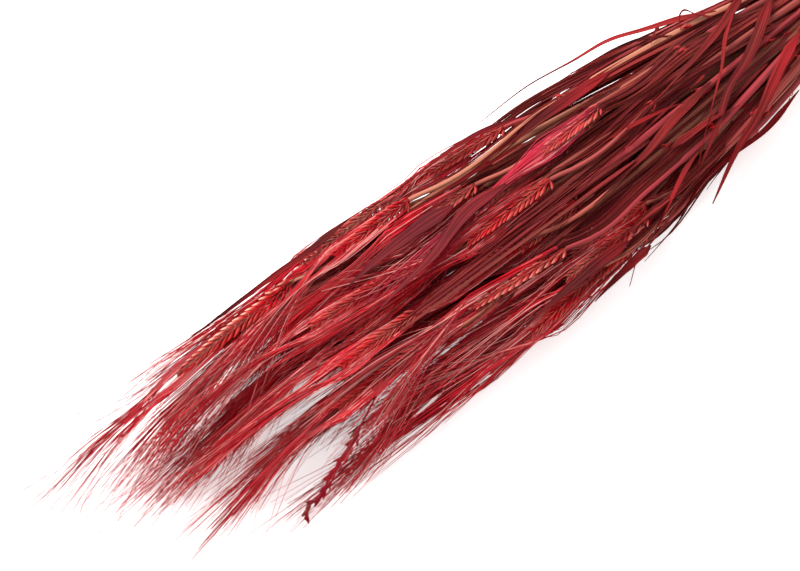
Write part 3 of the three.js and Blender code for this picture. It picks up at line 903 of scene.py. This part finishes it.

# %% [markdown]
# ## Dressing every stalk
#
# Most stalks share one look. Some ears on top of the bundle differ: one has pink awns, one has
# large grains with paler tips, and the one at the far left has cream tips along the side that faces
# the light, a painted highlight that is partly the grains' own colour.

# %% Looks
# A tone is two or three ranges: brightness, bare straw and pink.
PLAIN = {
    "joints": (),  # further joints, in millimetres along the bundle
    "stem": ((0.2, 0.95), (0.0, 0.6), (0.0, 0.35)),
    "grain": ((0.4, 0.85), (0.0, 0.1)),
    "husk": ((0.5, 1.0), (0.0, 0.25)),
    "awn": ((0.1, 1.0), (0.0, 0.1), (0.0, 0.25)),
    "blade": ((0.05, 0.75), (0.0, 0.3), (0.0, 0.5)),
    "swing": 0.16,  # how far the awns' ends swing to the lower edge
    "step": 1.8 * MM,  # from one grain to the next
    "pale_tips_and_highlight": 0.35,  # how pale the grains' tips are: partly straw, partly a painted highlight
    "pale_highlight_row": 0,  # the row with the pale tips and their painted highlight, 1 or -1, or 0 for both
    "pale_glint_awns": 0.17,  # share of pale awns, painted highlights along the awns
    "spread": 4.2,  # how wide the awns open, in millimetres
    "bare": 0.0,  # share of the ear, from its base, that bears no awns
    "filled": 1.0,  # share of the solid's ear that bears grains
    "crossing": 0.12,  # share of awns that may cross a shown ear
    "inner": 0.7,  # least share of its grain's offset that an awn keeps
    "clumping": 0.8,  # how closely awns keep to their clump
    "awns": 90,
    "edge_awns": 56,  # on the ears near the bundle's two edges
}
LOW = {"spread": 6.0, "clumping": 0.3}
STRAW_STEM = ((0.55, 0.8), (0.85, 1.0), (0.0, 0.05))
ROSE_STEM = ((0.35, 0.5), (0.0, 0.1), (0.2, 0.4))

# What differs from PLAIN, by the stalk's number. "roll" turns the ear about its line and "drift"
# moves its awns aside, and both are random on the other stalks.
SPECIAL = {
    "stem": {**dict.fromkeys((5, 19, 20, 24, 28, 33), STRAW_STEM), 41: ROSE_STEM},
    "grain": {
        19: ((0.95, 1.0), (0.0, 0.0), (0.0, 0.0)),
        37: ((0.8, 1.0), (0.0, 0.05)),
        39: ((0.5, 0.9), (0.0, 0.2), (0.0, 0.2)),
    },
    "husk": {19: ((0.8, 1.0), (0.0, 0.05)), 39: ((0.5, 1.0), (0.0, 0.3), (0.1, 0.5))},
    "awn": {39: ((0.3, 1.0), (0.0, 0.3), (0.2, 0.9))},
    "joints": {19: (164,), 33: (121.6,), 39: (184.6,), 40: (151,), 41: (176,)},
    "roll": {10: 1.2, 19: 0.0, 39: 0.2, 42: 0.6},
    "step": {19: 2.1 * MM, 39: 1.5 * MM, 42: 2.2 * MM},
    "pale_tips_and_highlight": {19: 4.0, 37: 0.3, 42: 0.9},
    "pale_highlight_row": {19: -1.0},
    "bare": {19: 0.6},
    "filled": {39: 0.6},
    "swing": {1: 0.08, 5: 0.04, 18: 0.04, 19: 0.08, 30: 0.0, 33: 0.12, 34: 0.04, 36: -0.05, 40: -0.05},
    "drift": {18: -0.6, 19: 0.3, 26: -0.6, 27: 0.8, 30: -2.0, 33: 1.6, 36: -1.4, 39: 0.0, 40: -2.6},
    "spread": {10: 7.0, 17: 7.0, 19: 15.0, 25: 7.0, 32: 7.0, 38: 6.0, 39: 1.6, 41: 5.0},
    "clumping": {19: 0.3, 37: 0.3, 41: 0.2},
    "edge_awns": {10: 0, 17: 0, 25: 0, 32: 0, 38: 40},
    "crossing": {39: 1.0},
    "inner": {39: -1.0},
}

# %% [markdown]
# ## The stripped ear
#
# One ear has lost its grains. Only its dark zigzag spine is left, with a short stump where each
# grain stood. It hangs out of the bundle beside the big red ear.

# %% Stripped ear
STRIPPED = [
    [-41, -23.5, 29], [-60.5, -34, 29], [-77, -41.5, 27], [-86, -45.5, 24.5], [-92.5, -47, 22.5],
    [-101.5, -50, 20], [-107.5, -53, 18], [-113.5, -52, 16], [-120, -55.5, 13],
]
SPINE_POINTS = 60
STUMPS = 20


def add_stripped_ear(strands):
    """A spine along STRIPPED. Past its first two fifths, which are a bare thin stem, it swings
    0.5 mm from side to side, with a stump at each swing."""
    s = np.linspace(0, 1, SPINE_POINTS)
    path = smooth_path(STRIPPED, SPINE_POINTS) * MM + shift
    path[:, 1] += 0.5 * MM * np.sin(2 * np.pi * STUMPS / 2 * s) * (s > 0.4)
    path = path[None]
    side, up = across_path(path)
    width = (0.5 + 0.8 * (s > 0.42)) * (1 - 0.5 * s**3) * MM
    outline = oval(width, 0.8 * width, 6)[None]
    strands.sweep(path, side, up, outline, tones(1, (0.0, 0.15), (0, 0.05)), GRAIN)
    at = np.linspace(0.44, 0.98, STUMPS)
    row = np.where(np.arange(STUMPS) % 2, 1.0, -1.0)[:, None]
    root = points_at(at, s, path[0])
    run = unit(np.gradient(root, axis=0))
    wide = np.cross([0.0, 0.0, 1.0], run)
    t = np.linspace(0, 1, 4)
    reach = 5.5 * MM * (1 - 0.4 * at[:, None]) * t
    aside = (row * 0.6 * reach)[..., None] * wide[:, None]
    stump = root[:, None] + run[:, None] * reach[..., None] + aside
    side, up = across_path(stump)
    width = 1.15 * MM * np.array([1.0, 0.95, 0.6, 0.15])
    outline = oval(width, 0.6 * width, 5)[None]
    strands.sweep(stump, side, up, outline, tones(STUMPS, (0.1, 0.4), (0, 0.05)), GRAIN)


# %% Make the stalks
LAST_LOW_STALK = "stalk_25"
UNDER_REACH = 38 * MM
STRIPPED_BESIDE = "stalk_37"
total = 0
for name in stalk_names:
    line = lines[name]
    look = {"roll": rng.uniform(-0.45, 0.45), "drift": rng.normal(0, 1.0), **PLAIN}
    if name <= LAST_LOW_STALK:
        look.update(LOW)
    number = int(name.removeprefix("stalk_"))
    look.update({key: values[number] for key, values in SPECIAL.items() if number in values})
    strands = Strands()
    joints, mouth = add_stem(strands, line, look)
    for place in joints:
        add_collar(strands, line, place)
    grain_tips = add_ear(strands, line, look)
    add_awns(strands, name, look, grain_tips)
    add_hugging_blades(strands, name, look)
    if name <= LAST_LOW_STALK and abs(line.at(np.array([line.ear_tip]))[0, 1]) < UNDER_REACH:
        add_under_blades(strands, line)
    if name == STRIPPED_BESIDE:
        add_stripped_ear(strands)
    piece, triangles = strands.mesh(name + "_dressed", finishes)
    total += triangles
    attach(piece, "root")
    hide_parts(name)
print("stalks:", total, "triangles")

# %% [markdown]
# ## The loose blades
#
# These lie across the bundle where the photograph shows them, so their paths repeat the solids'
# own points. The solids were laid out before the part was centred, so the tie tells how far the
# part has moved since. Each blade gets a twist, a fold and its own tone.

# %% Loose blades
LOOSE_POINTS = 40

# Each row: width in millimetres, twist at the root and at the tip in radians, fold as a share of
# half the width, brightness, and the path in millimetres.
BLADES = [
    (4.4, (0.2, 1.6), 0.5, 0.95, [
        [217, 27, 35], [205, 33, 34], [181, 43, 32], [165, 50, 30], [144, 55, 25], [122, 63, 15],
        [92, 66, 6],
    ]),
    (2.2, (0.0, 1.0), 0.4, 0.2, [[189, 30, 35], [177, 41, 30], [148, 49, 25], [128, 51, 24]]),
    (6.2, (0.1, 0.7), 0.35, 0.4, [
        [244, 15, 38], [230, 6, 40], [207, -7, 40], [187, -15, 41], [166, -28, 41.3], [142, -40, 33],
    ]),
    (6.0, (0.0, -0.8), 0.35, 0.6, [
        [240, -11, 38], [223, -18, 39], [206, -26, 38], [189, -34, 36], [172, -39, 30], [147, -49, 13],
    ]),
    (3.4, (0.0, 1.2), 0.4, 0.75, [
        [224, -30, 21], [194, -37, 21], [161, -39, 24], [143, -42, 25], [127, -47, 17], [102, -49, 4],
    ]),
    (3.0, (0.3, 2.0), 0.4, 0.7, [
        [150, -32, 38.8], [135, -37, 37.3], [124, -42, 35], [109, -48, 28], [95, -51, 21], [83, -58, 12],
    ]),
    (8.0, (0.2, 0.9), 0.4, 0.2, [[62, 13, 41], [38, 12, 42], [4, 2, 43], [-17, -1, 43], [-40, -5, 42]]),
    (8.5, (0.0, 0.5), 0.3, 0.12, [[33, 19, 43], [12, 20, 42], [-14, 19, 42], [-35, 17, 41]]),
    (6.5, (-0.2, 0.7), 0.4, 0.1, [[90, -47, 34], [68, -48, 35.5], [46, -49, 34], [20, -51, 33]]),
    (3.4, (0.0, 1.5), 0.5, 0.25, [[96, 41, 36], [70, 49, 32], [37, 50, 30], [15, 50, 29], [0, 51, 29]]),
    (3.6, (0.2, -0.6), 0.4, 0.25, [
        [-6, 52, 30], [-28, 50, 30], [-60, 49, 31], [-88, 50, 27], [-108, 51, 24],
    ]),
    (5.4, (0.1, 0.9), 0.5, 0.4, [
        [182, -6, 40], [150, -12, 40], [127, -17, 38], [104, -18, 37], [68, -21, 37],
    ]),
    (5.0, (0.0, 0.7), 0.4, 0.25, [[100, -53, 27], [86, -55, 27], [72, -57, 27], [58, -59, 26]]),
    (7.0, (0.1, 0.6), 0.35, 0.3, [[150, 34, 34], [112, 34, 34], [78, 34, 34], [46, 38, 32]]),
    (5.0, (0.0, 1.0), 0.4, 0.45, [[236, 26, 38], [204, 14, 40], [172, 6, 42], [146, 1, 43]]),
]


def add_blade(strands, width, twist, fold, bright, points, dusty=0.1):
    """A loose blade: half width = width / 2 * (wide soon after the root, narrow at the tip), with
    a slow ripple along both edges."""
    s = np.linspace(0, 1, LOOSE_POINTS)
    path = (smooth_path(points, LOOSE_POINTS) * MM + shift)[None]
    turn = (twist[0] + (twist[1] - twist[0]) * s**1.5)[None]
    side, up = across_path(path, turn)
    half = width / 2 * MM * np.minimum(1, 0.15 + 6 * s) * (1 - 0.9 * s**2)
    half = half * (1 + 0.06 * np.sin(23 * s + width))
    outline = leaf_outline(half[None], half[None] * fold, BLADE_THICKNESS)
    tone = np.zeros((1, LOOSE_POINTS, 3))
    tone[..., 0] = bright + 0.12 * np.sin(9 * s + width)
    tone[..., 1] = 0.03
    tone[..., 2] = dusty
    strands.sweep(path, side, up, outline, np.clip(tone, 0, 1), BLADE)


TORN = {
    "leaf_03": [
        (2.2, (0.2, 2.5), 0.4, 0.95, [
            [219, 17, 43], [206, 9, 43.5], [190, -5, 43.5], [176, -15, 43], [159, -27, 42],
            [144, -38, 36],
        ]),
        (4.0, (0.0, -0.6), 0.5, 0.6, [
            [139, -23, 41], [150, -24, 42.5], [161, -24, 42.5], [183, -26, 41],
        ]),
    ],
    "leaf_02": [
        (2.0, (0.2, 4.0), 0.4, 0.8, [
            [211, 24, 38], [206, 30, 38], [202, 36, 39], [197, 34, 40], [193, 28, 38],
        ]),
        (1.8, (0.0, 2.0), 0.4, 0.3, [[187, 38, 36], [182, 36, 37], [177, 33, 35]]),
    ],
    "leaf_12": [
        (2.6, (0.0, 0.8), 0.4, 0.85, [[117, 1, 41], [138, -2, 42], [156, -6, 43], [162, -8, 43]]),
        (1.6, (0.0, 1.5), 0.4, 1.0, [[182, -1, 41], [175, -3, 42.5], [170, -3, 42]]),
    ],
}
DUSTY = ("leaf_07", "leaf_08")
for index, (width, twist, fold, bright, points) in enumerate(BLADES):
    name = f"leaf_{index + 1:02d}"
    strands = Strands()
    add_blade(strands, width, twist, fold, bright, points, dusty=0.3 if name in DUSTY else 0.1)
    for torn in TORN.get(name, []):
        add_blade(strands, *torn)
    piece, triangles = strands.mesh(name + "_dressed", finishes)
    total += triangles
    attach(piece, "root")
    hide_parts(name)

# %% [markdown]
# ## The tie
#
# The twine is wound four times round the stems and drawn tight. A tight cord follows the outline
# of what it holds: in every direction it passes the stem that reaches furthest. Its own outline has
# three lobes that turn as they go, which draws the twisted plies. The knot sits on top.

# %% Tie
TURNS = 4
TURN_POINTS = 110
KNOT_POINTS = 130
TWINE_DIAMETER = 2.4 * MM
TURN_STEP = 0.97 * TWINE_DIAMETER
PLY_PITCH = 9 * MM
KNOT = [
    [-25, 7, -1.2], [-17, 7, -0.8], [-8, 3.5, 0.4], [-2, 1.5, 2.0], [2, -1, 2.4], [1.6, -3, 1.0],
    [-1.5, -2.2, 0.9], [-1.9, 1.6, 1.0], [1.0, 3.2, 1.4], [4, 1.5, 2.0], [9, -2.5, 0.8],
    [15, -6, -0.4], [21, -7, -1.2],
]


def tight_loop(count):
    """A closed loop in y and z. In the direction (cos a, sin a) it passes the stem that reaches
    furthest, at the stem's radius plus half the twine. The points are evenly spaced by length."""
    stems = np.array([line.at((tie_low[:1] + tie_high[:1]) / 2)[0, 1:] for line in lines.values()])
    angle = np.linspace(-np.pi / 2, 1.5 * np.pi, 720)
    way = np.stack([np.cos(angle), np.sin(angle)], axis=-1)
    loop = stems[(way @ stems.T).argmax(axis=1)] + way * (SHEATH_RADIUS + TWINE_DIAMETER / 2)
    run = running_length(loop)
    return points_at(np.linspace(0, run[-1], count), run, loop)


def add_twine(strands, path, side, up):
    """Twine point = path + an outline whose radius is 0.82 + 0.18 cos(3 (a - turn)) of the full
    one, where turn grows by a whole turn every PLY_PITCH."""
    run = running_length(path)
    corners = np.linspace(0, 2 * np.pi, 15, endpoint=False)
    plies = np.cos(3 * corners - 2 * np.pi * 3 * run[:, None] / PLY_PITCH)
    radius = TWINE_DIAMETER / 2 * (0.82 + 0.18 * plies)
    outline = np.stack([radius * np.cos(corners), radius * np.sin(corners)], axis=-1)[None]
    strands.sweep(path[None], side, up, outline, tones(1, (0.4, 0.6), (0.3, 0.5), (0, 0)), TWINE)


def add_tie(strands):
    """The turns are the tight loop, repeated while x moves on by TURN_STEP for each. The knot lies
    on their highest point."""
    loop = np.concatenate([tight_loop(TURN_POINTS + 1)[:-1]] * TURNS)
    middle = (tie_low[0] + tie_high[0]) / 2
    x = middle + np.linspace(-0.5, 0.5, len(loop)) * TURNS * TURN_STEP
    path = np.concatenate([x[:, None], loop], axis=1)
    travel = unit(np.gradient(path, axis=0))[None]
    side = np.broadcast_to([1.0, 0.0, 0.0], travel.shape)
    add_twine(strands, path, side, np.cross(travel, side))
    top = loop[loop[:, 1].argmax()]
    place = np.array([middle, top[0], top[1] + TWINE_DIAMETER / 2])
    knot = smooth_path(KNOT, KNOT_POINTS) * MM + place
    add_twine(strands, knot, *across_path(knot[None]))


strands = Strands()
add_tie(strands)
piece, triangles = strands.mesh("tie_dressed", finishes)
total += triangles
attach(piece, "root")
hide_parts("tie")
print("whole bundle:", total, "triangles")

# %% [markdown]
# ## Floor, light and camera
#
# The bundle lies on a plain white table. A broad soft light stands behind it on the upper left, so
# the shadow falls to the lower right, and a bright even sky fills the rest.

# %% Floor
floor_data = bpy.data.meshes.new("floor")
reach = 6.0
corners = [(-reach, -reach, 0), (reach, -reach, 0), (reach, reach, 0), (-reach, reach, 0)]
floor_data.from_pydata(corners, [], [(0, 1, 2, 3)])
floor = bpy.data.objects.new("floor", floor_data)
bpy.context.scene.collection.objects.link(floor)
floor.location.z = cad_bounds[0][2]
paper = bpy.data.materials.new("white table")
paper.use_nodes = True
white = paper.node_tree.nodes["Principled BSDF"]
feed(paper.node_tree, white, {"Base Color": (0.9, 0.89, 0.89, 1), "Roughness": 0.8})
feed(paper.node_tree, white, {"Emission Color": (1, 1, 1, 1), "Emission Strength": 0.5})
floor_data.materials.append(paper)

# %% Light
world = bpy.data.worlds.new("sky")
bpy.context.scene.world = world
world.use_nodes = True
world.node_tree.nodes["Background"].inputs["Color"].default_value = (1, 1, 1, 1)
world.node_tree.nodes["Background"].inputs["Strength"].default_value = 0.98


def area_light(name, place, target, size, power_w):
    """A square area light at place that faces target."""
    data = bpy.data.lights.new(name, "AREA")
    data.size = size
    data.energy = power_w
    lamp = bpy.data.objects.new(name, data)
    bpy.context.scene.collection.objects.link(lamp)
    aim = unit(np.array(target, float) - np.array(place, float))
    lamp.location = place
    lamp.rotation_euler = (math.acos(-aim[2]), 0, math.atan2(aim[1], aim[0]) - math.pi / 2)


area_light("window", place=(-0.25, 1.1, 1.25), target=(-0.05, 0, 0), size=0.9, power_w=44)

# %% Camera
AZIMUTH = math.radians(-39.4)
ELEVATION = math.radians(60)
DISTANCE = 1.3
FRAME_WIDTH = 0.4
LOOK_AT = np.array([0.0, 19.9, 0.0])
target = LOOK_AT * MM + shift
level = math.cos(ELEVATION)
back = np.array([math.sin(AZIMUTH) * level, -math.cos(AZIMUTH) * level, math.sin(ELEVATION)])
camera_data = bpy.data.cameras.new("camera")
camera_data.sensor_width = 36
camera_data.lens = camera_data.sensor_width * DISTANCE / FRAME_WIDTH
camera = bpy.data.objects.new("camera", camera_data)
bpy.context.scene.collection.objects.link(camera)
camera.location = target + back * DISTANCE
camera.rotation_euler = (math.pi / 2 - ELEVATION, 0, AZIMUTH)
bpy.context.scene.camera = camera
bpy.context.scene.view_settings.view_transform = "Standard"
print("camera lens", round(camera_data.lens, 1), "mm")
